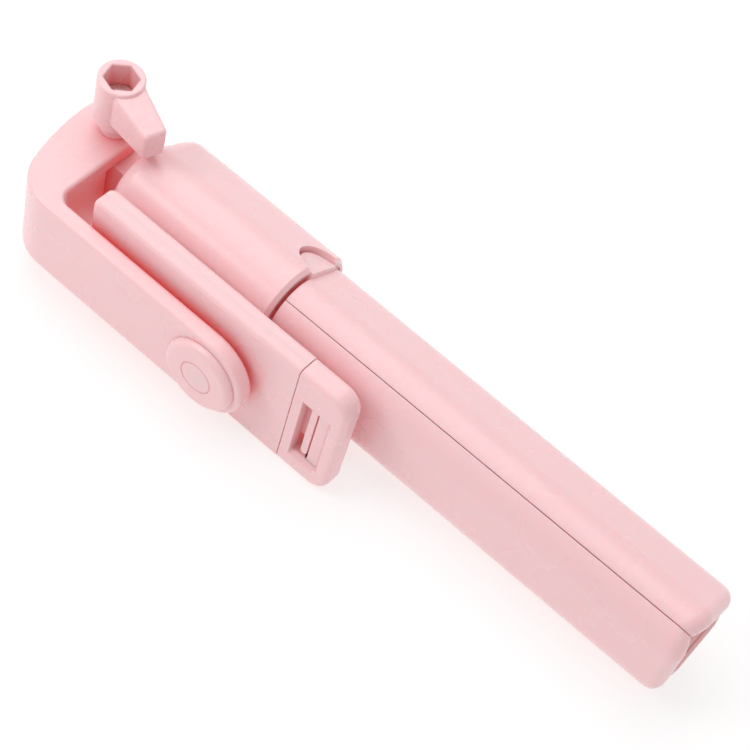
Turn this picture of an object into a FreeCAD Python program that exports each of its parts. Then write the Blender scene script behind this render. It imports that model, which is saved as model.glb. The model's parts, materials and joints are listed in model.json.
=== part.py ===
import FreeCAD
import Part

import math
import os

from FreeCAD import Vector

# A folded selfie stick that opens into a small tripod, in millimetres.
# It is drawn lying down: +X runs along the stick from the head to the feet, the phone
# clamp is folded against the -Y side, and the tilt bolt stands along +Z.
# The drawing's zero is where the tilt bolt crosses the stick's axis; the last lines
# move everything so that the part stands on z = 0 with its box centred.

# Grip: three legs closed round the mast, a rounded triangle with its corners at the seams
gripOffset = 6.15
gripRound = 8.35
gripWall = 2.0
seamGap = 0.06
gripFlat = gripOffset / 2 + gripRound
tipX = 174.3
tipRecess = 7.4
tipRound = 3.0
flareLong = 4.0
flareDeep = 0.25
footBlock = 17.0
ribThick = 2.0
ribCount = 4

# Collar at the head end of the grip
collarOffset = 5.6
collarRound = 11.0
collarWall = 1.7
collarX0 = 10.6
collarX1 = 57.8
collarHeadWall = 3.0
collarHeadRound = 4.0
collarFootChamfer = 0.9

# Leg hinges
hingeX = collarX1 - 2.8
hingeR = 11.2
hingePinR = 0.8
hingePinHalf = 8.6
knuckleR = 3.6
knuckleTop = 12.6
tongueHalf = 5.5
notchHalf = 6.0
legX0 = collarX1 + 0.7
legAngles = {"leg_upper": 60, "leg_front": 180, "leg_lower": 300}

# Telescopic mast
mastR = 6.6
mastStep = 0.7
mastWall = 0.35
mastSections = 5
mastX0 = 14.5
mastX1 = 152.0
mastNest = 1.0
bushLength = 8.0
mouthLip = 3.0
slideFit = 0.05
mastBore = 7.0

# Neck and tilt bolt
lugR = 6.0
lugHalf = 6.6
neckR = 6.0
neckX0 = 9.4
boltR = 2.0
runFit = 0.06
washerThick = 0.4
hexFlats = 7.0
boltHeadHigh = 2.6
boltTop = 22.9

# L-shaped bracket
bracketHalf = 11.05
bracketInX = 5.7
bracketOutX = -9.1
bracketInY = -23.4
bracketOutY = -27.65
bracketOutRound = 11.8
bracketSideBend = 18
bracketInRound = 3.2
bracketEdge = 1.0
slotHalf = 7.2
slotDepth = 8.0

# Clamp pivot and its cap
pivotX = 54.5
capR = 9.4
capHigh = 1.9
capEdge = 1.7
ringR = 4.3
ringWide = 0.35
ringDeep = 0.3

# Lever nut
leverBase = bracketHalf + 0.12
stubR = 3.6
hubBase = 14.4
hubTop = 28.2
hubR = 5.45
hubTaper = 0.9
leverReach = 15.9
leverRootHalf = 4.4
leverTipHalf = 2.8
leverTipTop = 26.0
leverTipBase = 18.2
leverRootBase = 16.8
leverEdge = 1.15
leverTurn = -16
socketBase = 19.0
nutHigh = 3.2

# Phone clamp
clampX0 = 13.9
clampX1 = 74.6
clampFront = -21.8
clampSplit = -18.9
clampBack = -15.95
clampHalf = 17.2
clampEdge = 1.3
clampEndRound = 2.6
padX0 = 26.0
padX1 = 70.0
padHalf = 12.0
padThick = 0.8
rodZ = 12.6
rodR = 1.0
rodX0 = 34.0
channelHalf = 1.7
channelX0 = 24.0
guideWall = 4.0
springZ = 7.4
springR = 1.5
springWire = 0.35
springTurns = 16
springX0 = 26.0
springX1 = 68.0

# Sliding jaw
jawX0 = clampX1 + 0.15
jawX1 = 88.6
jawBack = clampBack
jawEndRound = 5.0
windowX0 = 77.3
windowX1 = 84.4
windowLow = -11.2
windowHigh = 8.4
windowLip = 1.1
fingerHalf = 8.0
jawEdge = 1.6
fingerPinR = 0.8
jawBarX = 79.3
jawBarWide = 1.8
jawBarDeep = 1.3
jawBarThick = 1.4
jawBarGap = 0.8
shelfX = 81.45
fingerThick = 2.6

shapes = {}


def boxFrom(x0, x1, y0, y1, z0, z1):
    return Part.makeBox(x1 - x0, y1 - y0, z1 - z0, Vector(x0, y0, z0))


def rodAlongX(radius, x0, x1, y=0.0, z=0.0):
    return Part.makeCylinder(radius, x1 - x0, Vector(x0, y, z), Vector(1, 0, 0))


def rodAlongY(radius, y0, y1, x, z=0.0):
    return Part.makeCylinder(radius, y1 - y0, Vector(x, y0, z), Vector(0, 1, 0))


def rodAlongZ(radius, z0, z1, x=0.0, y=0.0):
    return Part.makeCylinder(radius, z1 - z0, Vector(x, y, z0), Vector(0, 0, 1))


def polygonPrism(points, direction):
    wire = Part.makePolygon(points + [points[0]])
    return Part.Face(wire).extrude(direction)


def hexPrism(flats, z0, z1):
    corner = flats / math.sqrt(3)
    points = []
    for k in range(6):
        angle = math.radians(60 * k)
        points.append(Vector(corner * math.cos(angle), corner * math.sin(angle), z0))
    return polygonPrism(points, Vector(0, 0, z1 - z0))


def onSection(radius, degrees, x):
    angle = math.radians(degrees)
    return Vector(x, radius * math.cos(angle), radius * math.sin(angle))


def roundTriangle(offset, radius, x0, x1, turn=0):
    # a prism along X; its three round corners stand at turn, turn + 120 and turn + 240 degrees
    edges = []
    starts = []
    ends = []
    for k in range(3):
        corner = turn + 120 * k
        centre = onSection(offset, corner, x0)
        first = centre + onSection(radius, corner - 60, 0)
        middle = centre + onSection(radius, corner, 0)
        last = centre + onSection(radius, corner + 60, 0)
        starts.append(first)
        ends.append(last)
        edges.append(Part.Arc(first, middle, last).toShape())
        if k > 0:
            edges.insert(-1, Part.LineSegment(ends[k - 1], first).toShape())
    edges.append(Part.LineSegment(ends[2], starts[0]).toShape())
    return Part.Face(Part.Wire(edges)).extrude(Vector(x1 - x0, 0, 0))


def roundWhere(shape, radius, wanted):
    chosen = [edge for edge in shape.Edges if wanted(edge)]
    return shape.makeFillet(radius, chosen)


def alongAxis(edge, axis):
    start = edge.Vertexes[0].Point
    end = edge.Vertexes[-1].Point
    if isinstance(edge.Curve, Part.Line) is False or (end - start).Length < 1e-6:
        return False
    return abs((end - start).normalize().dot(axis)) > 0.999


def middleOf(edge):
    return edge.valueAt((edge.FirstParameter + edge.LastParameter) / 2)


def turned(shape, degrees, axis, point=Vector(0, 0, 0)):
    copy = shape.copy()
    copy.rotate(point, axis, degrees)
    return copy


def facingUp(shape, degrees):
    # legs and hinges are drawn with their outward side at +Z, then turned to their place
    return turned(shape, degrees - 90, Vector(1, 0, 0))


def roundEnd(half, low, high):
    # the plan of a hinge tongue or its notch: straight sides and a half-round end
    block = boxFrom(collarX1 - 0.6, collarX1 + 8, -half, half, low, high)
    return block.fuse(rodAlongZ(half, low, high, collarX1 - 0.6)).removeSplitter()


def legSolid():
    solid = roundTriangle(gripOffset, gripRound, legX0, tipX + 6, 30)
    apex = seamGap / math.sin(math.radians(60))
    wedge = [Vector(0, 0, apex)]
    for degrees in (30, 150):
        wedge.append(onSection(40, degrees, 0) + Vector(0, 0, apex))
    solid = solid.common(polygonPrism(wedge, Vector(tipX + 20, 0, 0)))

    # the end face slopes inward, so that the three feet make a shallow hollow
    slope = tipRecess / gripFlat
    beyond = [
        Vector(tipX - tipRecess - 5 * slope, -30, -5),
        Vector(tipX + 10 * slope, -30, gripFlat + 10),
        Vector(tipX + 20, -30, gripFlat + 10),
        Vector(tipX + 20, -30, -5),
    ]
    solid = solid.cut(polygonPrism(beyond, Vector(0, 60, 0)))

    def isRim(edge):
        middle = middleOf(edge)
        radial = math.hypot(middle.y, middle.z)
        return middle.x > tipX - tipRecess and radial > 9 and not alongAxis(edge, Vector(1, 0, 0))

    solid = roundWhere(solid, tipRound, isRim)

    # towards the tip the seams open into a shallow groove
    for side in (-1, 1):
        along = Vector(0, side * math.cos(math.radians(30)), math.sin(math.radians(30)))
        inward = Vector(0, -along.z * side, abs(along.y))
        flare = [
            Vector(tipX - flareLong, 0, 0),
            Vector(tipX + 1, 0, 0),
            Vector(tipX + 1, 0, 0) + inward * flareDeep,
        ]
        solid = solid.cut(polygonPrism(flare, along * 40))

    # the shell is hollow between the hinge end and the solid foot, with cross ribs
    inner = roundTriangle(gripOffset, gripRound - gripWall, legX0 + 4, tipX - footBlock, 30)
    pitch = (tipX - footBlock - legX0 - 4) / (ribCount + 1)
    for k in range(ribCount):
        ribX = legX0 + 4 + pitch * (k + 1)
        inner = inner.cut(boxFrom(ribX, ribX + ribThick, -20, 20, -20, 20))
    solid = solid.cut(inner)
    solid = solid.cut(rodAlongX(mastBore, legX0 - 1, mastX1 + 1.5))

    tongue = boxFrom(hingeX, legX0 + 1.5, -tongueHalf, tongueHalf, hingeR - knuckleR, gripFlat)
    knuckle = rodAlongY(knuckleR, -tongueHalf, tongueHalf, hingeX, hingeR)
    knuckle = knuckle.common(boxFrom(hingeX - 5, hingeX + 5, -9, 9, 0, knuckleTop))
    tongue = tongue.fuse(knuckle)
    # it stays inside the notch's half-round end as the leg swings
    for degrees in (0, 20, 40, 60):
        swept = turned(roundEnd(tongueHalf, -20, 40), degrees, Vector(0, 1, 0), Vector(hingeX, 0, hingeR))
        tongue = tongue.common(swept)
    solid = solid.fuse(tongue).removeSplitter()
    return solid.cut(rodAlongY(hingePinR + runFit, -9, 9, hingeX, hingeR))


def footPadSolid(leg):
    # a soft pad let into the sloping end of the foot
    pocket = roundTriangle(gripOffset - 0.8, gripRound - 3.4, tipX - tipRecess - 1.2, tipX + 5, 30)
    apex = 2.2
    wedge = [Vector(0, 0, apex)]
    for degrees in (30, 150):
        wedge.append(onSection(40, degrees, 0) + Vector(0, 0, apex))
    pocket = pocket.common(polygonPrism(wedge, Vector(tipX + 20, 0, 0)))
    return leg.common(pocket)


def makeLegs():
    leg = legSolid()
    pad = footPadSolid(leg)
    leg = leg.cut(pad)
    pin = rodAlongY(hingePinR, -hingePinHalf, hingePinHalf, hingeX, hingeR)
    for name, angle in legAngles.items():
        shapes[name] = facingUp(leg, angle)
        shapes[name.replace("leg", "foot_pad")] = facingUp(pad, angle)
        shapes[name.replace("leg", "hinge_pin")] = facingUp(pin, angle)


def hingeCuts(low):
    notch = roundEnd(notchHalf, low, 30)
    return [facingUp(notch, angle) for angle in legAngles.values()]


def pinBores():
    bore = rodAlongY(hingePinR, -hingePinHalf, hingePinHalf, hingeX, hingeR)
    return [facingUp(bore, angle) for angle in legAngles.values()]


def makeCollar():
    solid = roundTriangle(collarOffset, collarRound, collarX0, collarX1)

    def isHeadEdge(edge):
        return middleOf(edge).x < collarX0 + 0.01

    def isFootEdge(edge):
        return middleOf(edge).x > collarX1 - 0.01

    solid = roundWhere(solid, collarHeadRound, isHeadEdge)
    solid = solid.makeChamfer(collarFootChamfer, [edge for edge in solid.Edges if isFootEdge(edge)])
    innerRound = collarRound - collarWall
    coreX0 = collarX0 + collarHeadWall
    solid = solid.cut(roundTriangle(collarOffset, innerRound, coreX0, collarX1 + 1))
    solid = solid.cut(rodAlongX(neckR + runFit, collarX0 - 1, coreX0 + 1))
    core = roundTriangle(collarOffset, innerRound - 0.02, coreX0 + 0.02, collarX1 - 0.3)
    core = core.cut(rodAlongX(mastR, collarX0, collarX1))
    cuts = hingeCuts(mastR + 0.35)
    solid = solid.cut(cuts)
    core = core.cut(cuts)
    solid = solid.cut(pinBores())
    core = core.cut(pinBores())

    # three screws run through the core into the collar's head wall
    screws = []
    for k in range(3):
        place = onSection(9.4, 120 * k, 0)
        shank = rodAlongX(0.9, collarX0 + 1.2, 26, place.y, place.z)
        head = rodAlongX(1.8, 26, 27.6, place.y, place.z)
        slotCut = boxFrom(27.0, 28, place.y - 0.25, place.y + 0.25, place.z - 2, place.z + 2)
        solid = solid.cut(shank)
        core = core.cut(shank).cut(rodAlongX(2.0, 26, collarX1, place.y, place.z))
        screws.append(shank.fuse(head).cut(slotCut))
    shapes["collar_sleeve"] = solid
    shapes["hub_core"] = core
    shapes["hub_screws"] = Part.makeCompound(screws)


def mastRadius(section):
    return mastR - mastStep * section


def makeMast():
    for section in range(mastSections):
        radius = mastRadius(section)
        x0 = mastX0 - 0.2 * section
        x1 = mastX1 - mastNest * section
        tube = rodAlongX(radius, x0, x1)
        last = section == mastSections - 1
        tube = tube.cut(rodAlongX(radius - mastWall, x0 if last else x0 + mouthLip, x1 + 1))
        if not last:
            tube = tube.cut(rodAlongX(mastRadius(section + 1) + slideFit, x0 - 1, x0 + mouthLip + 1))
        shapes["mast_tube_%d" % (section + 1)] = tube
        if section > 0:
            outer = mastRadius(section - 1) - mastWall - slideFit
            bush = rodAlongX(outer, x1 - bushLength, x1)
            shapes["mast_bush_%d" % (section + 1)] = bush.cut(rodAlongX(radius, 0, tipX))


def makeNeck():
    smallest = mastRadius(mastSections - 1) - mastWall
    lug = rodAlongZ(lugR, -lugHalf, lugHalf)
    lug = lug.fuse(boxFrom(0, neckX0 + 1, -lugR + 0.6, lugR - 0.6, -lugHalf, lugHalf))
    lug = lug.cut(boxFrom(neckX0 + 0.5, 30, -10, 10, -10, 10))
    base = rodAlongX(neckR, neckX0, mastX0 - 1.2)
    base = roundWhere(base, 0.5, lambda edge: middleOf(edge).x < neckX0 + 0.01)
    plug = rodAlongX(smallest, mastX0 - 1.3, mastX0 + 14)
    neck = base.fuse([lug, plug]).removeSplitter()
    neck = neck.cut(rodAlongZ(boltR + runFit, -10, 10))
    shapes["neck_block"] = neck
    gap = slotHalf - lugHalf
    rim = rodAlongZ(5.4, lugHalf + (gap - washerThick) / 2, lugHalf + (gap + washerThick) / 2)
    washer = rim.cut(rodAlongZ(boltR + runFit, 0, 10))
    shapes["washer_top"] = washer
    shapes["washer_bottom"] = washer.mirror(Vector(0, 0, 0), Vector(0, 0, 1))


def bracketPlan():
    # the outer side bends slowly away from the ear, then turns a tighter corner into the long arm
    endX = pivotX + bracketHalf
    half = (bracketInX - bracketOutX) / 2
    midX = (bracketInX + bracketOutX) / 2
    bend = math.radians(bracketSideBend)
    cornerY = bracketOutY + bracketOutRound * (1 - math.sin(bend))
    slowRound = -cornerY / math.sin(bend)

    def onSlow(angle):
        x = bracketOutX + slowRound * (1 - math.cos(angle))
        return Vector(x, -slowRound * math.sin(angle), 0)

    cornerStart = onSlow(bend)

    def onCorner(angle):
        x = cornerStart.x + bracketOutRound * (math.cos(bend) - math.cos(angle))
        y = cornerStart.y - bracketOutRound * (math.sin(angle) - math.sin(bend))
        return Vector(x, y, 0)

    cornerEnd = onCorner(math.pi / 2)
    inC = Vector(bracketInX + bracketInRound, bracketInY + bracketInRound, 0)
    diagonal = Vector(-1, -1, 0).normalize()
    inStart = Vector(inC.x, bracketInY, 0)
    inEnd = Vector(bracketInX, inC.y, 0)
    earIn = Vector(bracketInX, 0, 0)
    earOut = Vector(bracketOutX, 0, 0)
    farOut = Vector(endX, bracketOutY, 0)
    farIn = Vector(endX, bracketInY, 0)
    edges = [
        Part.Arc(earIn, Vector(midX, half, 0), earOut).toShape(),
        Part.Arc(earOut, onSlow(bend / 2), cornerStart).toShape(),
        Part.Arc(cornerStart, onCorner((bend + math.pi / 2) / 2), cornerEnd).toShape(),
        Part.LineSegment(cornerEnd, farOut).toShape(),
        Part.LineSegment(farOut, farIn).toShape(),
        Part.LineSegment(farIn, inStart).toShape(),
        Part.Arc(inStart, inC + diagonal * bracketInRound, inEnd).toShape(),
        Part.LineSegment(inEnd, earIn).toShape(),
    ]
    return Part.Face(Part.Wire(edges))


def makeBracket():
    plan = bracketPlan()
    plan.translate(Vector(0, 0, -bracketHalf))
    solid = plan.extrude(Vector(0, 0, 2 * bracketHalf))
    endBlock = boxFrom(pivotX, pivotX + 20, -40, 0, -20, 20)
    endRound = rodAlongY(bracketHalf, -40, 0, pivotX)
    solid = solid.cut(endBlock.cut(endRound)).removeSplitter()

    def isLongEdge(edge):
        middle = middleOf(edge)
        return not alongAxis(edge, Vector(0, 0, 1)) and abs(middle.z) > 1e-3 or middle.x > pivotX + 5

    solid = roundWhere(solid, bracketEdge, isLongEdge)
    solid = solid.cut(boxFrom(-20, 20, -slotDepth, 20, -slotHalf, slotHalf))
    solid = solid.cut(rodAlongZ(boltR + runFit, -20, 20))
    solid = solid.cut(hexPrism(hexFlats + 0.1, -bracketHalf - 1, -bracketHalf + boltHeadHigh))
    # the clamp's pivot runs through the far end, with a pocket for its nut and a groove for the cap
    solid = solid.cut(rodAlongY(boltR + runFit, -40, 0, pivotX))
    pocket = turned(hexPrism(hexFlats + 0.1, 0, 2.7), 90, Vector(1, 0, 0))
    pocket.translate(Vector(pivotX, bracketOutY + 2.7, 0))
    solid = solid.cut(pocket)
    groove = rodAlongY(6.0, bracketOutY, bracketOutY + 1.2, pivotX)
    groove = groove.cut(rodAlongY(5.2, bracketOutY, bracketOutY + 1.2, pivotX))
    solid = solid.cut(groove)
    shapes["bracket_arm"] = solid

    cap = rodAlongY(capR, bracketOutY - capHigh, bracketOutY, pivotX)
    cap = roundWhere(cap, capEdge, lambda edge: abs(middleOf(edge).y - bracketOutY + capHigh) < 1e-3)
    ring = rodAlongY(ringR, bracketOutY - capHigh - 1, bracketOutY - capHigh + ringDeep, pivotX)
    ring = ring.cut(rodAlongY(ringR - ringWide, bracketOutY - 9, bracketOutY, pivotX))
    spigot = rodAlongY(5.9, bracketOutY, bracketOutY + 1.1, pivotX)
    spigot = spigot.cut(rodAlongY(5.3, bracketOutY - 1, bracketOutY + 2, pivotX))
    hollow = rodAlongY(3.0, bracketOutY - 1, bracketOutY, pivotX)
    shapes["pivot_cap"] = cap.cut(ring).cut(hollow).fuse(spigot)

    nut = turned(hexPrism(hexFlats, 0, 2.5), 90, Vector(1, 0, 0))
    nut.translate(Vector(pivotX, bracketOutY + 2.65, 0))
    shapes["pivot_nut"] = nut.cut(rodAlongY(boltR + runFit, -40, 0, pivotX))

    head = hexPrism(hexFlats, -bracketHalf + 0.2, -bracketHalf + boltHeadHigh)
    bolt = rodAlongZ(boltR, -bracketHalf + 1, boltTop)
    bolt = roundWhere(bolt, 0.4, lambda edge: middleOf(edge).z > boltTop - 0.01)
    shapes["tilt_bolt"] = head.fuse(bolt)


def makeLever():
    stub = rodAlongZ(stubR, leverBase, hubBase + 1)
    hub = rodAlongZ(hubR, hubBase, hubTop)
    hub = hub.makeChamfer(hubTaper, [edge for edge in hub.Edges if middleOf(edge).z < hubBase + 0.01])
    outline = [
        Vector(0, -leverRootHalf, hubBase),
        Vector(leverReach, -leverTipHalf, hubBase),
        Vector(leverReach, leverTipHalf, hubBase),
        Vector(0, leverRootHalf, hubBase),
    ]
    arm = polygonPrism(outline, Vector(0, 0, hubTop - hubBase))
    above = [
        Vector(0, -20, hubTop - 0.2),
        Vector(leverReach + 5, -20, leverTipTop - 0.6),
        Vector(leverReach + 5, -20, hubTop + 5),
        Vector(0, -20, hubTop + 5),
    ]
    below = [
        Vector(0, -20, leverRootBase),
        Vector(leverReach, -20, leverTipBase),
        Vector(leverReach + 5, -20, leverTipBase),
        Vector(leverReach + 5, -20, hubBase - 5),
        Vector(0, -20, hubBase - 5),
    ]
    arm = arm.cut([polygonPrism(above, Vector(0, 40, 0)), polygonPrism(below, Vector(0, 40, 0))])
    body = hub.fuse(arm).removeSplitter()

    def isArmEdge(edge):
        middle = middleOf(edge)
        return middle.x > 7

    body = roundWhere(body, leverEdge, isArmEdge)
    body = body.fuse(stub).removeSplitter()
    body = body.cut(hexPrism(hexFlats + 0.1, socketBase, hubTop + 1))
    body = body.cut(rodAlongZ(boltR + runFit, 0, hubTop))
    rim = [edge for edge in body.Edges if middleOf(edge).z > hubTop - 0.01]
    body = body.makeChamfer(0.3, rim)
    shapes["tilt_lever"] = turned(body, leverTurn, Vector(0, 0, 1))

    nut = hexPrism(hexFlats, socketBase, socketBase + nutHigh)
    cone = Part.makeCone(hexFlats * 0.62, hexFlats * 0.47, 1.1, Vector(0, 0, socketBase + nutHigh - 1.1))
    lower = boxFrom(-9, 9, -9, 9, 0, socketBase + nutHigh - 1.1)
    nut = nut.common(cone.fuse(lower)).cut(rodAlongZ(boltR + slideFit, 0, 40))
    shapes["tilt_nut"] = turned(nut, leverTurn, Vector(0, 0, 1))


def plate(x0, x1, y0, y1, half):
    return boxFrom(x0, x1, y0, y1, -half, half)


def clampBlock(x0, x1, front, back, endRound, endX, soft, rounded):
    # a flat block with round outer corners at endX and soft edges where rounded says so
    solid = plate(x0, x1, front, back, clampHalf)

    def isCorner(edge):
        return alongAxis(edge, Vector(0, 1, 0)) and abs(middleOf(edge).x - endX) < 1e-3

    solid = roundWhere(solid, endRound, isCorner)
    return roundWhere(solid, soft, rounded)


def channels(y0, y1):
    cuts = []
    for side in (-1, 1):
        for place, half in ((rodZ, channelHalf), (springZ, springR + 0.2)):
            z = side * place
            cuts.append(boxFrom(channelX0, clampX1 - guideWall, y0, y1, z - half, z + half))
    return cuts


def coil(radius, wire, x0, x1, turns, z):
    helix = Part.makeHelix((x1 - x0) / turns, x1 - x0, radius - wire)
    start = Vector(radius - wire, 0, 0)
    profile = Part.Wire(Part.Circle(start, Vector(0, 1, 0), wire).toShape())
    spring = Part.Wire(helix).makePipeShell([profile], True, True)
    spring.rotate(Vector(0, 0, 0), Vector(0, 1, 0), 90)
    spring.translate(Vector(x0, clampSplit, z))
    return spring


def makeClamp():
    def frontEdges(edge):
        middle = middleOf(edge)
        return middle.y < clampFront + 1e-3 and middle.x < clampX1 - 1e-3

    def backEdges(edge):
        middle = middleOf(edge)
        return middle.y > clampBack - 1e-3 and middle.x < clampX1 - 1e-3

    front = clampBlock(clampX0, clampX1, clampFront, clampSplit, clampEndRound, clampX0, clampEdge, frontEdges)
    back = clampBlock(clampX0, clampX1, clampSplit, clampBack, clampEndRound, clampX0, clampEdge, backEdges)
    front = front.cut(channels(clampSplit - channelHalf, clampSplit))
    back = back.cut(channels(clampSplit, clampSplit + channelHalf))
    for side in (-1, 1):
        bore = rodAlongX(rodR + runFit, channelX0, clampX1 + 1, clampSplit, side * rodZ)
        front = front.cut(bore)
        back = back.cut(bore)
    front = front.cut(rodAlongY(boltR, -40, 0, pivotX))
    front = front.cut(rodAlongY(3.5, clampSplit - 0.9, 0, pivotX))
    back = back.cut(rodAlongY(3.5, clampSplit, clampSplit + 1.0, pivotX))

    # the fixed end's finger lies in a pocket of the back cover
    fingerX0 = clampX0 + 2.0
    fingerX1 = clampX0 + 9.6
    room = plate(fingerX0, fingerX1, clampBack - fingerThick - 0.1, 0, fingerHalf + 0.3)
    back = back.cut(room)
    front = front.cut(room)
    pinX = fingerX1 - 1.6
    pinY = clampBack - fingerThick / 2
    pinBore = rodAlongZ(fingerPinR, -fingerHalf - 2.4, fingerHalf + 2.4, pinX, pinY)
    back = back.cut(pinBore)
    shapes["clamp_back_cover"] = back.cut(plate(padX0, padX1, clampBack - padThick, 0, padHalf))
    shapes["clamp_body"] = front
    shapes["end_finger_pin"] = pinBore
    shapes["end_finger"] = fingerPlate(fingerX0 + 0.3, pinX, pinY, -fingerHalf, fingerHalf)

    pad = plate(padX0, padX1, clampBack - padThick, clampBack, padHalf)
    grooves = []
    for k in range(8):
        x = padX0 + 4 + k * (padX1 - padX0 - 8) / 7
        grooves.append(plate(x - 0.4, x + 0.4, clampBack - 0.25, 0, padHalf - 1.5))
    shapes["phone_pad"] = pad.cut(grooves)

    screw = rodAlongY(boltR, bracketOutY - 0.3, clampSplit - 0.8, pivotX)
    head = rodAlongY(3.4, clampSplit - 0.85, clampSplit + 0.85, pivotX)
    drive = turned(hexPrism(2.5, 0, 1.2), 90, Vector(1, 0, 0))
    drive.translate(Vector(pivotX, clampSplit + 0.9, 0))
    shapes["pivot_screw"] = screw.fuse(head).removeSplitter().cut(drive)
    middle = (clampFront + bracketInY) / 2
    washer = rodAlongY(7.2, middle - 0.32, middle + 0.32, pivotX)
    shapes["pivot_washer"] = washer.cut(rodAlongY(boltR + runFit, -40, 0, pivotX))
    springs = []
    for side in (-1, 1):
        springs.append(coil(springR, springWire, springX0, springX1, springTurns, side * springZ))
    shapes["jaw_springs"] = Part.makeCompound(springs)


def fingerPlate(freeX, pinX, pinY, z0, z1):
    # a flat finger that turns on its pin
    y0 = pinY - fingerThick / 2
    y1 = pinY + fingerThick / 2
    knuckle = rodAlongZ(fingerThick / 2, z0, z1, pinX, pinY)
    finger = boxFrom(min(freeX, pinX), max(freeX, pinX), y0, y1, z0, z1)

    def isFree(edge):
        return abs(middleOf(edge).x - freeX) < 1e-3

    finger = roundWhere(finger, 0.5, isFree)
    finger = finger.fuse(knuckle).removeSplitter()
    return finger.cut(rodAlongZ(fingerPinR + runFit, -20, 20, pinX, pinY))


def makeJaw():
    def jawEdges(edge):
        middle = middleOf(edge)
        faceY = middle.y < clampFront + 1e-3 or middle.y > jawBack - 1e-3
        return faceY and middle.x > jawX0 + 1e-3

    jaw = clampBlock(jawX0, jawX1, clampFront, jawBack, jawEndRound, jawX1, jawEdge, jawEdges)
    jaw = jaw.cut(boxFrom(windowX0, windowX1, -40, 0, windowLow, windowHigh))
    # the window's right and lower edges are bevelled
    lipY = clampFront + windowLip
    rightLip = [
        Vector(windowX1, lipY, windowLow),
        Vector(windowX1 + windowLip + 0.5, clampFront - 0.5, windowLow),
        Vector(windowX1, clampFront - 0.5, windowLow),
    ]
    lowerLip = [
        Vector(windowX0, lipY, windowLow),
        Vector(windowX0, clampFront - 0.5, windowLow - windowLip - 0.5),
        Vector(windowX0, clampFront - 0.5, windowLow),
    ]
    jaw = jaw.cut(polygonPrism(rightLip, Vector(0, 0, windowHigh - windowLow)))
    jaw = jaw.cut(polygonPrism(lowerLip, Vector(windowX1 - windowX0, 0, 0)))
    pinX = windowX0 + 2.0
    pinY = jawBack - fingerThick / 2
    pin = rodAlongZ(fingerPinR, windowLow - 2.4, windowHigh + 2.4, pinX, pinY)
    jaw = jaw.cut(pin)
    # a bar hangs in the window's open half, and a shelf fills its other half
    barEnd = windowLow + jawBarGap + jawBarWide / 2
    barY0 = clampFront + jawBarDeep
    barX1 = jawBarX + jawBarWide
    bar = boxFrom(jawBarX, barX1, barY0, barY0 + jawBarThick, barEnd, windowHigh + 0.5)
    tip = rodAlongY(jawBarWide / 2, barY0, barY0 + jawBarThick, jawBarX + jawBarWide / 2, barEnd)
    shelf = boxFrom(shelfX, windowX1 + 0.5, barY0, barY0 + jawBarThick, windowLow - 0.5, windowHigh + 0.5)
    jaw = jaw.fuse([bar, tip, shelf]).removeSplitter()
    rods = []
    for side in (-1, 1):
        rod = rodAlongX(rodR, rodX0, jawX0 + 2.0, clampSplit, side * rodZ)
        stop = rodAlongX(1.5, rodX0, rodX0 + 2.5, clampSplit, side * rodZ)
        rods.append(rod.fuse(stop).removeSplitter())
        jaw = jaw.cut(rod)
    shapes["jaw"] = jaw
    shapes["jaw_finger_pin"] = pin
    shapes["jaw_finger"] = fingerPlate(windowX1 - 0.3, pinX, pinY, windowLow + 0.3, windowHigh - 0.3)
    shapes["jaw_rods"] = Part.makeCompound(rods)


makeLegs()
makeCollar()
makeMast()
makeNeck()
makeBracket()
makeLever()
makeClamp()
makeJaw()

whole = Part.makeCompound(list(shapes.values())).optimalBoundingBox(False, False)
shift = Vector(-(whole.XMin + whole.XMax) / 2, -(whole.YMin + whole.YMax) / 2, -whole.ZMin)
print("box", whole.XLength, whole.YLength, whole.ZLength)
print("zero of the drawing is at", shift)

os.makedirs("parts", exist_ok=True)
for node, shape in shapes.items():
    shape.translate(shift)
    if not shape.isValid() or shape.Volume < 0.1:
        print("check", node, shape.isValid(), shape.Volume)
    shape.exportStep("parts/%s.step" % node)
print(len(shapes), "nodes")
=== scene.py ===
import json
import math

import bmesh
import bpy
from mathutils import Matrix, Vector

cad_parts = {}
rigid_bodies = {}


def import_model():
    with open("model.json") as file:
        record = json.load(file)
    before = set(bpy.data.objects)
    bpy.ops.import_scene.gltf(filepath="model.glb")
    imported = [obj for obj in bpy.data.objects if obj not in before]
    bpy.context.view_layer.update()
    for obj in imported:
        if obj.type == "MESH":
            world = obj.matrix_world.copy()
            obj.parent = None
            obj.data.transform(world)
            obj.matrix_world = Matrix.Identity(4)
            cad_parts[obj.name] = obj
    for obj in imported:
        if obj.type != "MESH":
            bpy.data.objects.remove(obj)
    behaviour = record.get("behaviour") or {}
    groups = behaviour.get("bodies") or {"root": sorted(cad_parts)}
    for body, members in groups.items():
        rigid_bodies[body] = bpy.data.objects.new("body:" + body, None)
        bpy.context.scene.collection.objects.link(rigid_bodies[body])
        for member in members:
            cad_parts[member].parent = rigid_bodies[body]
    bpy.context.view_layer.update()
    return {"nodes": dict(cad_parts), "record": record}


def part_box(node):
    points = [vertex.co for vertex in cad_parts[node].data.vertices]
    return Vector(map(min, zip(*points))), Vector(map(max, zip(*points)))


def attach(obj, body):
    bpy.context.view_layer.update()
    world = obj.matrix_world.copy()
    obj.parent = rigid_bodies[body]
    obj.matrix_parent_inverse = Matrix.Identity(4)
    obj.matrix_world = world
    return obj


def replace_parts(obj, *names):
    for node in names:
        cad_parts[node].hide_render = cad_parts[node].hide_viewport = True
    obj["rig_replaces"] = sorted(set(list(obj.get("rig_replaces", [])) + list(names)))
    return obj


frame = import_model()
mm = 0.001


def clearSelection():
    if bpy.context.object and bpy.context.object.mode != "OBJECT":
        bpy.ops.object.mode_set(mode="OBJECT")
    bpy.ops.object.select_all(action="DESELECT")


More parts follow.
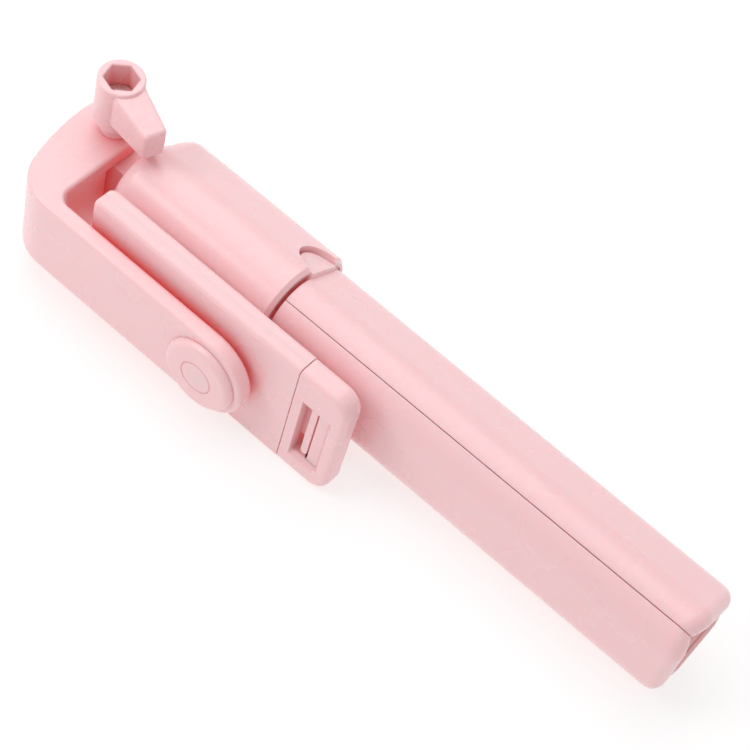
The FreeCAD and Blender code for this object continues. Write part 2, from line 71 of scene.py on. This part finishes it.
def pick(obj):
    clearSelection()
    obj.select_set(True)
    bpy.context.view_layer.objects.active = obj


def applyModifiers(obj):
    pick(obj)
    for modifier in list(obj.modifiers):
        bpy.ops.object.modifier_apply(modifier=modifier.name)


def smoothByAngle(obj, degrees=32):
    pick(obj)
    bpy.ops.object.shade_smooth_by_angle(angle=math.radians(degrees))


def dress(obj, material, body, slot, *nodes):
    obj.data.materials.clear()
    obj.data.materials.append(material)
    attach(obj, body)
    if nodes:
        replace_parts(obj, *nodes)
    return obj


def newGroup(name, inputs, outputs):
    group = bpy.data.node_groups.new(name, "ShaderNodeTree")
    for label, kind, value in inputs:
        socket = group.interface.new_socket(name=label, in_out="INPUT", socket_type=kind)
        socket.default_value = value
    for label, kind in outputs:
        group.interface.new_socket(name=label, in_out="OUTPUT", socket_type=kind)
    return group, group.nodes.new("NodeGroupInput"), group.nodes.new("NodeGroupOutput")


def makeMouldGroup():
    # moulded skin: a faint cloud in the tint and gloss, and a fine spark-eroded grain
    inputs = [
        ("Tint", "NodeSocketColor", (0.9, 0.55, 0.55, 1)),
        ("Shade", "NodeSocketColor", (0.85, 0.5, 0.5, 1)),
        ("Cloud Scale", "NodeSocketFloat", 60),
        ("Grain Scale", "NodeSocketFloat", 5200),
        ("Rough Low", "NodeSocketFloat", 0.36),
        ("Rough High", "NodeSocketFloat", 0.46),
    ]
    outputs = [
        ("Color", "NodeSocketColor"),
        ("Roughness", "NodeSocketFloat"),
        ("Grain", "NodeSocketFloat"),
    ]
    group, source, sink = newGroup("mouldedSkin", inputs, outputs)
    add, join = group.nodes.new, group.links.new
    place = add("ShaderNodeTexCoord")
    cloud = add("ShaderNodeTexNoise")
    cloud.inputs["Detail"].default_value = 3
    join(place.outputs["Object"], cloud.inputs["Vector"])
    join(source.outputs["Cloud Scale"], cloud.inputs["Scale"])
    tint = add("ShaderNodeMix")
    tint.data_type = "RGBA"
    join(cloud.outputs["Fac"], tint.inputs["Factor"])
    join(source.outputs["Tint"], tint.inputs["A"])
    join(source.outputs["Shade"], tint.inputs["B"])
    join(tint.outputs["Result"], sink.inputs["Color"])
    grain = add("ShaderNodeTexNoise")
    grain.inputs["Detail"].default_value = 2
    join(place.outputs["Object"], grain.inputs["Vector"])
    join(source.outputs["Grain Scale"], grain.inputs["Scale"])
    join(grain.outputs["Fac"], sink.inputs["Grain"])
    gloss = add("ShaderNodeMapRange")
    join(cloud.outputs["Fac"], gloss.inputs["Value"])
    gloss.inputs["From Min"].default_value = 0.35
    gloss.inputs["From Max"].default_value = 0.65
    join(source.outputs["Rough Low"], gloss.inputs["To Min"])
    join(source.outputs["Rough High"], gloss.inputs["To Max"])
    join(gloss.outputs["Result"], sink.inputs["Roughness"])
    return group


def newMaterial(name):
    material = bpy.data.materials.new(name)
    material.use_nodes = True
    tree = material.node_tree
    return material, tree, tree.nodes["Principled BSDF"]


# how far and how finely the occlusion looks for the painted gap shade
gap = {"samples": 4, "distance": 12 * mm}
skin = {"grainDeep": 0.02 * mm, "scatter": (1.0, 0.3, 0.25), "scatterDeep": 2.0 * mm, "ior": 1.48}
# each plastic's gap colour is painted shade in gaps and hollows, and painted light where it is also
# emitted
plastics = {
    "pinkPlastic": {
        "tint": (0.94, 0.605, 0.625), "shade": (0.937, 0.598, 0.619), "paintedGapTint": (0.93, 0.27, 0.25),
        "rough": (0.26, 0.29), "grain": 5200, "bump": 0.012, "soft": 0.4, "reach": 0.14, "paintedGlow": 0.05},
    # the bracket's plastic is the pink plastic with a stronger, redder painted gap shade and painted
    # emission
    "bracketPlastic": {
        "tint": (0.94, 0.605, 0.625), "shade": (0.937, 0.598, 0.619), "paintedGapTint": (0.93, 0.07, 0.055),
        "rough": (0.26, 0.29), "grain": 5200, "bump": 0.012, "soft": 0.4, "reach": 0.55, "paintedGlow": 0.13},
    "pinkRubber": {
        "tint": (0.86, 0.47, 0.47), "shade": (0.83, 0.44, 0.44), "paintedGapTint": (0.8, 0.2, 0.18),
        "rough": (0.62, 0.72), "grain": 3800, "bump": 0.35, "soft": 0.1, "reach": 0.24, "paintedGlow": 0},
    "whiteNylon": {
        "tint": (0.82, 0.81, 0.78), "shade": (0.79, 0.78, 0.75), "paintedGapTint": (0.7, 0.66, 0.58),
        "rough": (0.42, 0.5), "grain": 3000, "bump": 0.1, "soft": 0.1, "reach": 0.24, "paintedGlow": 0},
}


def mouldedPlastic(name):
    look = plastics[name]
    material, tree, shader = newMaterial(name)
    mould = tree.nodes.new("ShaderNodeGroup")
    mould.node_tree = mouldGroup
    mould.inputs["Tint"].default_value = look["tint"] + (1,)
    mould.inputs["Shade"].default_value = look["shade"] + (1,)
    mould.inputs["Grain Scale"].default_value = look["grain"]
    mould.inputs["Rough Low"].default_value, mould.inputs["Rough High"].default_value = look["rough"]
    height = tree.nodes.new("ShaderNodeBump")
    height.inputs["Strength"].default_value = look["bump"]
    height.inputs["Distance"].default_value = skin["grainDeep"]
    join = tree.links.new
    # painted shade and painted light: narrow gaps and hollows, found by occlusion, are painted a
    # deeper, warmer pink, standing in for light let in by the thin moulding
    hollow = tree.nodes.new("ShaderNodeAmbientOcclusion")
    hollow.samples = gap["samples"]
    hollow.inputs["Distance"].default_value = gap["distance"]
    spread = tree.nodes.new("ShaderNodeMapRange")
    spread.interpolation_type = "SMOOTHSTEP"
    spread.inputs["From Min"].default_value = 0.0
    spread.inputs["From Max"].default_value = look["reach"]
    paintedGapShade = tree.nodes.new("ShaderNodeMix")
    paintedGapShade.data_type = "RGBA"
    paintedGapShade.inputs["A"].default_value = look["paintedGapTint"] + (1,)
    join(hollow.outputs["AO"], spread.inputs["Value"])
    join(spread.outputs["Result"], paintedGapShade.inputs["Factor"])
    join(mould.outputs["Color"], paintedGapShade.inputs["B"])
    join(paintedGapShade.outputs["Result"], shader.inputs["Base Color"])
    if look["paintedGlow"]:
        # painted light: the same gaps are also painted faintly emitting, by the same mask
        paintedGlowColor = tree.nodes.new("ShaderNodeMix")
        paintedGlowColor.data_type = "RGBA"
        paintedGlowColor.inputs["A"].default_value = look["paintedGapTint"] + (1,)
        paintedGlowColor.inputs["B"].default_value = (0, 0, 0, 1)
        join(spread.outputs["Result"], paintedGlowColor.inputs["Factor"])
        join(paintedGlowColor.outputs["Result"], shader.inputs["Emission Color"])
        shader.inputs["Emission Strength"].default_value = look["paintedGlow"]
    join(mould.outputs["Roughness"], shader.inputs["Roughness"])
    join(mould.outputs["Grain"], height.inputs["Height"])
    join(height.outputs["Normal"], shader.inputs["Normal"])
    shader.inputs["Subsurface Weight"].default_value = look["soft"]
    shader.inputs["Subsurface Radius"].default_value = skin["scatter"]
    shader.inputs["Subsurface Scale"].default_value = skin["scatterDeep"]
    shader.inputs["IOR"].default_value = skin["ior"]
    return material


def drawnSteel(name, tint, roughLow, roughHigh, stretch, bump):
    # metal drawn along X: streaks that run with the tube
    material, tree, shader = newMaterial(name)
    add, join = tree.nodes.new, tree.links.new
    place = add("ShaderNodeTexCoord")
    spread = add("ShaderNodeMapping")
    spread.inputs["Scale"].default_value = stretch
    streak = add("ShaderNodeTexNoise")
    streak.inputs["Scale"].default_value = 900
    streak.inputs["Detail"].default_value = 4
    gloss = add("ShaderNodeMapRange")
    gloss.inputs["To Min"].default_value = roughLow
    gloss.inputs["To Max"].default_value = roughHigh
    height = add("ShaderNodeBump")
    height.inputs["Strength"].default_value = bump
    height.inputs["Distance"].default_value = 0.01 * mm
    join(place.outputs["Object"], spread.inputs["Vector"])
    join(spread.outputs["Vector"], streak.inputs["Vector"])
    join(streak.outputs["Fac"], gloss.inputs["Value"])
    join(gloss.outputs["Result"], shader.inputs["Roughness"])
    join(streak.outputs["Fac"], height.inputs["Height"])
    join(height.outputs["Normal"], shader.inputs["Normal"])
    shader.inputs["Base Color"].default_value = tint + (1,)
    shader.inputs["Metallic"].default_value = 1
    return material


mouldGroup = makeMouldGroup()
pinkPlastic = mouldedPlastic("pinkPlastic")
bracketPlastic = mouldedPlastic("bracketPlastic")
pinkRubber = mouldedPlastic("pinkRubber")
whiteNylon = mouldedPlastic("whiteNylon")
zincSteel = drawnSteel("zincSteel", (0.72, 0.72, 0.73), 0.22, 0.36, (1, 1, 1), 0.15)
mastSteel = drawnSteel("mastSteel", (0.80, 0.80, 0.81), 0.12, 0.2, (0.02, 1, 1), 0.08)
slotMaterials = {
    "pink_plastic": pinkPlastic,
    "pink_rubber": pinkRubber,
    "white_nylon": whiteNylon,
    "zinc_steel": zincSteel,
    "mast_steel": mastSteel,
}
print("materials made:", len(slotMaterials))

bodyOf = {}
for body, nodes in frame["record"]["behaviour"]["bodies"].items():
    for node in nodes:
        bodyOf[node] = body
slotOf = {}
for entry in frame["record"]["subparts"]:
    slotOf[entry["node"]] = entry["material_slot"]


def meshOf(piece):
    mesh = bmesh.new()
    mesh.from_mesh(piece.data)
    return mesh


def copyOf(node):
    # a merged copy of the CAD node, its flat faces made whole so that edges can be worked
    piece = bpy.data.objects.new(node + "Skin", frame["nodes"][node].data.copy())
    bpy.context.scene.collection.objects.link(piece)
    pick(piece)
    bpy.ops.object.mode_set(mode="EDIT")
    bpy.ops.mesh.select_all(action="SELECT")
    bpy.ops.mesh.remove_doubles(threshold=0.0005 * mm)
    bpy.ops.mesh.customdata_custom_splitnormals_clear()
    bpy.ops.mesh.dissolve_limited(angle_limit=math.radians(0.6))
    bpy.ops.object.mode_set(mode="OBJECT")
    return piece


def softenEdges(piece, width, where, sharp=38, segments=3):
    # breaks the sharp edges whose middle passes the test, as a mould tool leaves them
    mesh = meshOf(piece)
    weight = mesh.edges.layers.float.new("bevel_weight_edge")
    for edge in mesh.edges:
        middle = (edge.verts[0].co + edge.verts[1].co) / 2
        if len(edge.link_faces) == 2 and edge.calc_face_angle() > math.radians(sharp) and where(middle):
            edge[weight] = 1
    mesh.to_mesh(piece.data)
    mesh.free()
    soften = piece.modifiers.new("soften", "BEVEL")
    soften.limit_method = "WEIGHT"
    soften.width = width
    soften.segments = segments
    soften.use_clamp_overlap = False
    applyModifiers(piece)


def finish(piece, node, degrees=32):
    smoothByAngle(piece, degrees)
    # flat faces keep their own normal, so no shading runs across them
    flatten = piece.modifiers.new("flatten", "WEIGHTED_NORMAL")
    flatten.keep_sharp = True
    flatten.weight = 80
    applyModifiers(piece)
    return dress(piece, slotMaterials[slotOf[node]], bodyOf[node], slotOf[node], node)


def cutWith(piece, cutters):
    # cutters are joined into one object, taken out of the piece and removed
    clearSelection()
    for cutter in cutters:
        cutter.select_set(True)
    bpy.context.view_layer.objects.active = cutters[0]
    if len(cutters) > 1:
        bpy.ops.object.join()
    tool = bpy.context.view_layer.objects.active
    cut = piece.modifiers.new("cut", "BOOLEAN")
    cut.operation = "DIFFERENCE"
    cut.solver = "EXACT"
    cut.use_self = True
    cut.object = tool
    applyModifiers(piece)
    bpy.data.objects.remove(tool)


def addBlock(low, high):
    clearSelection()
    middle = (Vector(low) + Vector(high)) / 2
    bpy.ops.mesh.primitive_cube_add(size=1, location=middle)
    block = bpy.context.object
    block.scale = Vector(high) - Vector(low)
    bpy.ops.object.transform_apply(location=True, rotation=True, scale=True)
    return block


def addRod(radius, start, end, vertices=48):
    clearSelection()
    start, end = Vector(start), Vector(end)
    bpy.ops.mesh.primitive_cylinder_add(
        radius=radius, depth=(end - start).length, vertices=vertices, location=(start + end) / 2)
    rod = bpy.context.object
    rod.rotation_euler = (end - start).to_track_quat("Z", "Y").to_euler()
    bpy.ops.object.transform_apply(location=True, rotation=True, scale=True)
    return rod


def turnMesh(piece, degrees, axis, centre):
    turn = Matrix.Translation(centre) @ Matrix.Rotation(math.radians(degrees), 4, axis)
    piece.data.transform(turn @ Matrix.Translation(-Vector(centre)))


def middleOf(node):
    low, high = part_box(node)
    return (low + high) / 2


hubMiddle = middleOf("mast_tube_5")
stickY, stickZ = hubMiddle.y, hubMiddle.z
boltLow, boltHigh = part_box("tilt_bolt")
boltX = (boltLow.x + boltHigh.x) / 2
boltY = (boltLow.y + boltHigh.y) / 2
legTurns = {"upper": 60, "front": 180, "lower": 300}


legs = {
    "edge": 0.28 * mm,
    "clearOfHinge": 9 * mm,
    "grooves": 4,
    "grooveWide": 0.5 * mm,
    "grooveDeep": 0.35 * mm,
    "groovePitch": 1.7 * mm,
    "firstGroove": 4.2 * mm,
    "barBeyond": 5 * mm,
    "barHalf": 9 * mm,
    "slopeBand": 2.5 * mm,
    "slopeInset": 1.1 * mm,
}


def makeLegs():
    for name in legTurns:
        node = "leg_" + name
        low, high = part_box(node)
        leg = copyOf(node)
        softenEdges(leg, legs["edge"], lambda p: p.x > low.x + legs["clearOfHinge"])
        finish(leg, node)


def makeFootPads():
    # cast rubber feet, each with grooves across it
    for name, turn in legTurns.items():
        node = "foot_pad_" + name
        low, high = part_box(node)
        pad = copyOf(node)
        centre = Vector((0, stickY, stickZ))
        cutters = []
        for k in range(legs["grooves"]):
            out = legs["firstGroove"] + k * legs["groovePitch"]
            bar = addBlock(
                (low.x - legs["barBeyond"], stickY - legs["barHalf"], stickZ + out),
                (high.x + legs["barBeyond"], stickY + legs["barHalf"],
                 stickZ + out + legs["grooveWide"]))
            # the bar's floor follows the pad's slope, so that each groove is as deep
            reach = footSlope(pad, out, turn) - legs["grooveDeep"]
            for vert in bar.data.vertices:
                if vert.co.x < low.x:
                    vert.co.x = reach
            turnMesh(bar, turn - 90, "X", centre)
            cutters.append(bar)
        cutWith(pad, cutters)
        finish(pad, node, 25)


def footSlope(pad, out, turn):
    # how far along the stick the pad's end face stands at this distance from the axis
    angle = math.radians(turn)
    best = []
    for vert in pad.data.vertices:
        away = (vert.co.y - stickY) * math.cos(angle) + (vert.co.z - stickZ) * math.sin(angle)
        if abs(away - out) < legs["slopeBand"]:
            best.append(vert.co.x)
    if best:
        return max(best) - legs["slopeInset"]
    return middleOf("foot_pad_upper").x


makeLegs()
makeFootPads()
print("legs and feet made")


head = {"bracketEdge": 0.3 * mm, "capEdge": 0.12 * mm, "leverEdge": 0.22 * mm, "metalEdge": 0.08 * mm}


def makeHead():
    edges = {"bracket_arm": "bracketEdge", "pivot_cap": "capEdge", "tilt_lever": "leverEdge"}
    for node, width in edges.items():
        piece = copyOf(node)
        softenEdges(piece, head[width], lambda p: True)
        finish(piece, node)
        if node == "bracket_arm":
            piece.data.materials[0] = bracketPlastic
    for node in ("tilt_nut", "pivot_nut", "washer_top", "washer_bottom"):
        piece = copyOf(node)
        softenEdges(piece, head["metalEdge"], lambda p: True, segments=2)
        finish(piece, node)


makeHead()
print("bracket, cap and lever made")


bolt = {
    "core": 1.66 * mm,
    "crest": 2.0 * mm,
    "pitch": 0.7 * mm,
    "threadLong": 11.0 * mm,
    "crown": 0.3 * mm,
    "steps": 28,
    "crestStart": 0.42,
    "crestEnd": 0.54,
    "rootStart": 0.96,
    "threadSunk": 0.2 * mm,
    "coreSunk": 0.5 * mm,
    "coreOver": 0.03 * mm,
}


def makeTiltBolt():
    # a cut thread on the upper part of the bolt, the shank and head kept from the frame
    shank = copyOf("tilt_bolt")
    joint = boltHigh.z - bolt["threadLong"]
    pick(shank)
    bpy.ops.object.mode_set(mode="EDIT")
    bpy.ops.mesh.select_all(action="SELECT")
    bpy.ops.mesh.bisect(plane_co=(0, 0, joint), plane_no=(0, 0, 1), clear_outer=True, use_fill=True)
    bpy.ops.object.mode_set(mode="OBJECT")
    mesh = bmesh.new()
    turns = int(bolt["threadLong"] / bolt["pitch"]) - 1
    points = [
        (bolt["core"], 0),
        (bolt["crest"], bolt["pitch"] * bolt["crestStart"]),
        (bolt["crest"], bolt["pitch"] * bolt["crestEnd"]),
        (bolt["core"], bolt["pitch"] * bolt["rootStart"]),
        (bolt["core"], bolt["pitch"]),
    ]
    verts = [mesh.verts.new((r, 0, z)) for r, z in points]
    for first, second in zip(verts, verts[1:]):
        mesh.edges.new((first, second))
    data = bpy.data.meshes.new("thread")
    mesh.to_mesh(data)
    mesh.free()
    thread = bpy.data.objects.new("thread", data)
    bpy.context.scene.collection.objects.link(thread)
    helix = thread.modifiers.new("helix", "SCREW")
    helix.axis = "Z"
    helix.angle = math.radians(360)
    helix.screw_offset = bolt["pitch"]
    helix.iterations = turns
    helix.steps = helix.render_steps = bolt["steps"]
    helix.use_merge_vertices = True
    helix.merge_threshold = 0.01 * mm
    applyModifiers(thread)
    thread.data.transform(Matrix.Translation((boltX, boltY, joint - bolt["threadSunk"])))
    coreStart = (boltX, boltY, joint - bolt["coreSunk"])
    core = addRod(bolt["core"] + bolt["coreOver"], coreStart, (boltX, boltY, boltHigh.z))
    pick(core)
    crown = core.modifiers.new("crown", "BEVEL")
    crown.width = bolt["crown"]
    crown.segments = 4
    crown.limit_method = "ANGLE"
    applyModifiers(core)
    clearSelection()
    for part in (thread, core, shank):
        part.select_set(True)
    bpy.context.view_layer.objects.active = shank
    bpy.ops.object.join()
    finish(shank, "tilt_bolt")


makeTiltBolt()
print("tilt bolt made")


clamp = {
    "edge": 0.22 * mm,
    "padRib": 2.0 * mm,
    "padGroove": 0.7 * mm,
    "padDeep": 0.35 * mm,
    "padEdge": 0.14 * mm,
    "padBorder": 1.5 * mm,
    "splitNear": 0.15 * mm,
    "fingerEdge": 0.18 * mm,
}


def makeClamp():
    for node in ("clamp_body", "clamp_back_cover"):
        piece = copyOf(node)
        # the two halves meet edge to edge, so those edges stay sharp
        softenEdges(piece, clamp["edge"], lambda p: abs(p.y - coverLow.y) > clamp["splitNear"])
        finish(piece, node)


def makeJaw():
    jaw = copyOf("jaw")
    softenEdges(jaw, clamp["edge"], lambda p: True)
    finish(jaw, "jaw")


def makePhonePad():
    # a ribbed rubber pad: strips are marked off across it, every other one let down
    low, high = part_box("phone_pad")
    pad = addBlock(low, high)
    pad.name = "phonePadRibbed"
    count = int((high.x - low.x) / (clamp["padRib"] + clamp["padGroove"]))
    pitch = (high.x - low.x - clamp["padRib"]) / count
    bpy.ops.object.mode_set(mode="EDIT")
    starts = []
    for k in range(count):
        start = low.x + clamp["padRib"] + k * pitch
        starts.append(start)
        for cut in (start, start + clamp["padGroove"]):
            bpy.ops.mesh.select_all(action="SELECT")
            bpy.ops.mesh.bisect(plane_co=(cut, 0, 0), plane_no=(1, 0, 0))
    for cut in (low.z + clamp["padBorder"], high.z - clamp["padBorder"]):
        bpy.ops.mesh.select_all(action="SELECT")
        bpy.ops.mesh.bisect(plane_co=(0, 0, cut), plane_no=(0, 0, 1))
    bpy.ops.mesh.select_all(action="DESELECT")
    bpy.ops.object.mode_set(mode="OBJECT")
    outward = 1 if padFacesBack else -1
    for face in pad.data.polygons:
        centre = face.center
        inStrip = any(0 < centre.x - start < clamp["padGroove"] for start in starts)
        inField = low.z + clamp["padBorder"] < centre.z < high.z - clamp["padBorder"]
        face.select = inStrip and inField and face.normal.y * outward > 0.9
    bpy.ops.object.mode_set(mode="EDIT")
    bpy.ops.mesh.extrude_region_move(
        TRANSFORM_OT_translate={"value": (0, -outward * clamp["padDeep"], 0)})
    bpy.ops.object.mode_set(mode="OBJECT")
    soft = pad.modifiers.new("soft", "BEVEL")
    soft.width = clamp["padEdge"]
    soft.segments = 3
    soft.limit_method = "ANGLE"
    soft.angle_limit = math.radians(40)
    applyModifiers(pad)
    finish(pad, "phone_pad")


def makeFinger(node):
    plate = copyOf(node)
    softenEdges(plate, clamp["fingerEdge"], lambda p: True)
    finish(plate, node)


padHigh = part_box("phone_pad")[1]
coverLow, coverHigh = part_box("clamp_back_cover")
padFacesBack = abs(padHigh.y - coverHigh.y) < 0.5 * mm
makeClamp()
makeJaw()
makePhonePad()
for node in ("jaw_finger", "end_finger"):
    makeFinger(node)
print("clamp and jaw made")


replaced = set()
for piece in bpy.context.scene.objects:
    for node in piece.get("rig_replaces", []):
        replaced.add(node)
for node, part in frame["nodes"].items():
    if node in replaced:
        continue
    part.data.materials.clear()
    part.data.materials.append(slotMaterials[slotOf[node]])
print("parts kept:", len(frame["nodes"]) - len(replaced))


studio = {
    "floorDrop": 0.0003,
    "floorGlow": 0.66,
    "floorTint": (0.38, 0.38, 0.38, 1),
    "floorLight": (1, 1, 0.995, 1),
    "skyLight": 0.57,
    "skySeen": 1.0,
    "azimuth": 24.486,
    "elevation": 54.598,
    "roll": 19.339,
    "lens": 99.006,
    "reach": 0.45105,
    "aim": (0.00059, 0.00477, 0.02083),
    "sensor": 36,
    "floorWide": 12,
    "lamps": {
        "softTop": {"place": (-0.3, 0.25, 0.9), "size": (0.9, 0.9), "watts": 4.2},
        "keyLeft": {"place": (-0.5, -0.42, 0.68), "size": (0.4, 0.26), "watts": 2.0},
    },
}


def makeLamps():
    for name, lamp in studio["lamps"].items():
        data = bpy.data.lights.new(name, "AREA")
        data.shape = "RECTANGLE"
        data.size, data.size_y = lamp["size"]
        data.energy = lamp["watts"]
        stand = bpy.data.objects.new(name, data)
        stand.location = lamp["place"]
        stand.rotation_euler = (-Vector(lamp["place"])).to_track_quat("-Z", "Y").to_euler()
        bpy.context.scene.collection.objects.link(stand)


def makeFloor():
    clearSelection()
    bpy.ops.mesh.primitive_plane_add(size=studio["floorWide"], location=(0, 0, -studio["floorDrop"]))
    floor = bpy.context.object
    floor.name = "floor"
    material, tree, shader = newMaterial("paperFloor")
    # a lit white table, so that what stands on it throws next to no shadow
    shader.inputs["Base Color"].default_value = studio["floorTint"]
    shader.inputs["Roughness"].default_value = 1
    shader.inputs["Specular IOR Level"].default_value = 0
    shader.inputs["Emission Color"].default_value = studio["floorLight"]
    shader.inputs["Emission Strength"].default_value = studio["floorGlow"]
    floor.data.materials.append(material)


def makeWorld():
    world = bpy.data.worlds.new("studioWorld")
    world.use_nodes = True
    bpy.context.scene.view_settings.view_transform = "Standard"
    tree = world.node_tree
    back = tree.nodes["Background"]
    back.inputs["Color"].default_value = (1, 1, 1, 1)
    # the backdrop is seen white, and lights the stick more softly
    seen = tree.nodes.new("ShaderNodeLightPath")
    level = tree.nodes.new("ShaderNodeMapRange")
    level.inputs["To Min"].default_value = studio["skyLight"]
    level.inputs["To Max"].default_value = studio["skySeen"]
    tree.links.new(seen.outputs["Is Camera Ray"], level.inputs["Value"])
    tree.links.new(level.outputs["Result"], back.inputs["Strength"])
    bpy.context.scene.world = world


def makeCamera():
    az = math.radians(studio["azimuth"])
    el = math.radians(studio["elevation"])
    back = Vector((math.sin(az) * math.cos(el), -math.cos(az) * math.cos(el), math.sin(el)))
    level = Vector((math.cos(az), math.sin(az), 0))
    turn = Matrix.Rotation(math.radians(studio["roll"]), 3, back)
    right = turn @ level
    up = back.cross(right)
    data = bpy.data.cameras.new("camera")
    data.lens = studio["lens"]
    data.sensor_width = studio["sensor"]
    data.clip_start = 0.01
    camera = bpy.data.objects.new("camera", data)
    camera.matrix_world = Matrix((right, up, back)).transposed().to_4x4()
    camera.location = Vector(studio["aim"]) + back * studio["reach"]
    bpy.context.scene.collection.objects.link(camera)
    bpy.context.scene.camera = camera


makeFloor()
makeWorld()
makeLamps()
makeCamera()
print("studio set")
